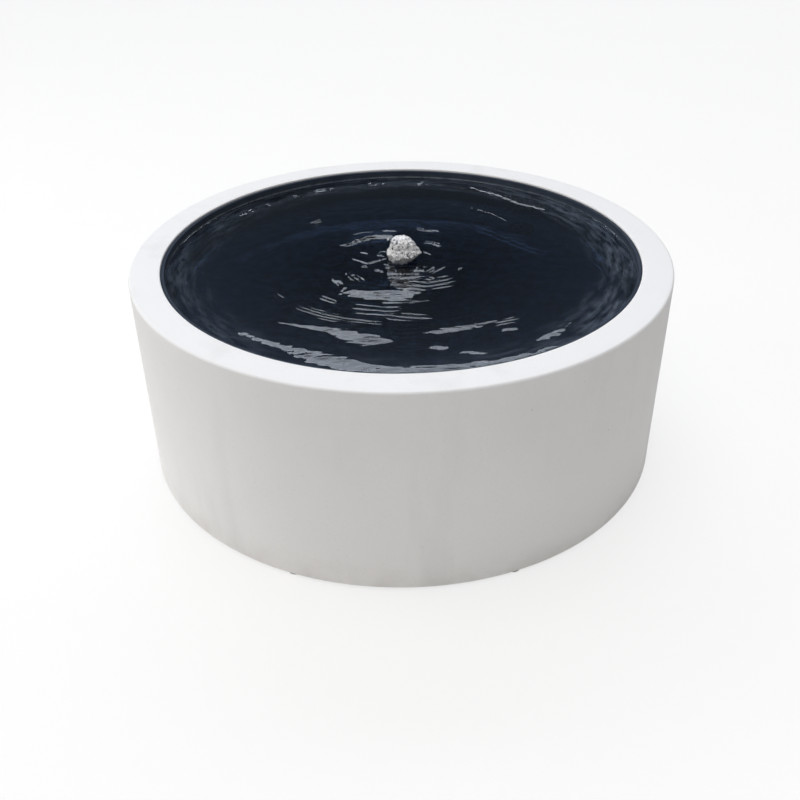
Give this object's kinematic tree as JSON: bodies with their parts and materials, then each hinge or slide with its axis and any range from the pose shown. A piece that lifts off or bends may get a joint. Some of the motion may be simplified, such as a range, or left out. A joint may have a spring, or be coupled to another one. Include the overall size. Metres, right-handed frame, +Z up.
{
  "type": "water table fountain",
  "caption": "Low round garden water table: pale cast shell with a flat rim, dark sunken basin, and a pump in a covered sump feeding a central bubbler nozzle.",
  "frame": {"origin": "on the ground, under the middle of the round table", "axes": "+Z up along the table's axis and the riser; -Y to the front, the side that the picture shows; the cable notch is at the back, +Y"},
  "size_m": [0.9, 0.8999, 0.357],
  "materials": {
    "cast_stone": "matte",
    "basin_coat": "satin",
    "sealant": "satin",
    "steel": "satin",
    "brass": "satin",
    "pad_rubber": "matte",
    "leg_plastic": "matte",
    "cover_plastic": "matte",
    "drain_steel": "satin",
    "seal_rubber": "matte",
    "plug_plastic": "satin",
    "gland_plastic": "satin",
    "pump_plastic": "satin",
    "stator_iron": "matte",
    "winding": "gloss",
    "ferrite": "satin",
    "impeller_plastic": "gloss",
    "shaft_ceramic": "polished",
    "sponge": "matte",
    "dial_plastic": "satin",
    "pipe_plastic": "satin",
    "nozzle_plastic": "satin"
  },
  "bodies": {
    "table": {"outer_shell": "cast_stone", "inner_basin": "basin_coat", "sump_wall": "basin_coat", "sump_base": "basin_coat", "edge_sealant": "sealant", "flange_screws": "steel", "rim_inserts": "brass", "shell_pads": "pad_rubber", "basin_legs": "leg_plastic", "leg_pads": "pad_rubber", "drain_fitting": "drain_steel", "drain_gasket": "seal_rubber", "drain_nut": "drain_steel", "gland_body": "gland_plastic", "gland_nut": "gland_plastic", "gland_seal": "seal_rubber", "gland_cap": "gland_plastic", "pump_housing": "pump_plastic", "motor_cap": "pump_plastic", "stator_core": "stator_iron", "stator_coils": "winding", "suction_feet": "seal_rubber", "rotor_shaft": "shaft_ceramic", "rear_bush": "seal_rubber", "front_bush": "seal_rubber", "chamber_cover": "pump_plastic", "chamber_seal": "seal_rubber", "riser_tube": "pipe_plastic", "riser_clamp": "steel", "riser_collar": "nozzle_plastic"},
    "rotor": {"rotor_magnet": "ferrite", "impeller": "impeller_plastic"},
    "cage": {"intake_cage": "pump_plastic", "filter_sponge": "sponge"},
    "dial": {"flow_dial": "dial_plastic"},
    "riser": {"riser_extension": "pipe_plastic", "nozzle_body": "nozzle_plastic"},
    "sleeve": {"nozzle_sleeve": "nozzle_plastic"},
    "cover": {"sump_cover": "cover_plastic", "cover_knobs": "cover_plastic"},
    "plug": {"drain_plug": "plug_plastic", "drain_oring": "seal_rubber"}
  },
  "joints": [
    {"name": "rotor_spin", "type": "hinge", "parent": "table", "child": "rotor", "pos_m": [0, 0, 0.15], "axis": [0, 1, 0], "continuous": true},
    {"name": "intake_pull", "type": "slide", "parent": "table", "child": "cage", "axis": [0, -1, 0], "range_m": [0, 0.025]},
    {"name": "flow_dial_turn", "type": "hinge", "parent": "cage", "child": "dial", "pos_m": [0, -0.048, 0.15], "axis": [0, 1, 0], "range_deg": [0, 45]},
    {"name": "riser_slide", "type": "slide", "parent": "table", "child": "riser", "axis": [0, 0, 1], "range_m": [-0.012, 0.015]},
    {"name": "sleeve_slide", "type": "slide", "parent": "riser", "child": "sleeve", "axis": [0, 0, 1], "range_m": [-0.006, 0.006]},
    {"name": "cover_lift", "type": "slide", "parent": "table", "child": "cover", "axis": [0, 0, 1], "range_m": [0, 0.165]},
    {"name": "plug_lift", "type": "slide", "parent": "table", "child": "plug", "axis": [0, 0, 1], "range_m": [0, 0.15]}
  ]
}
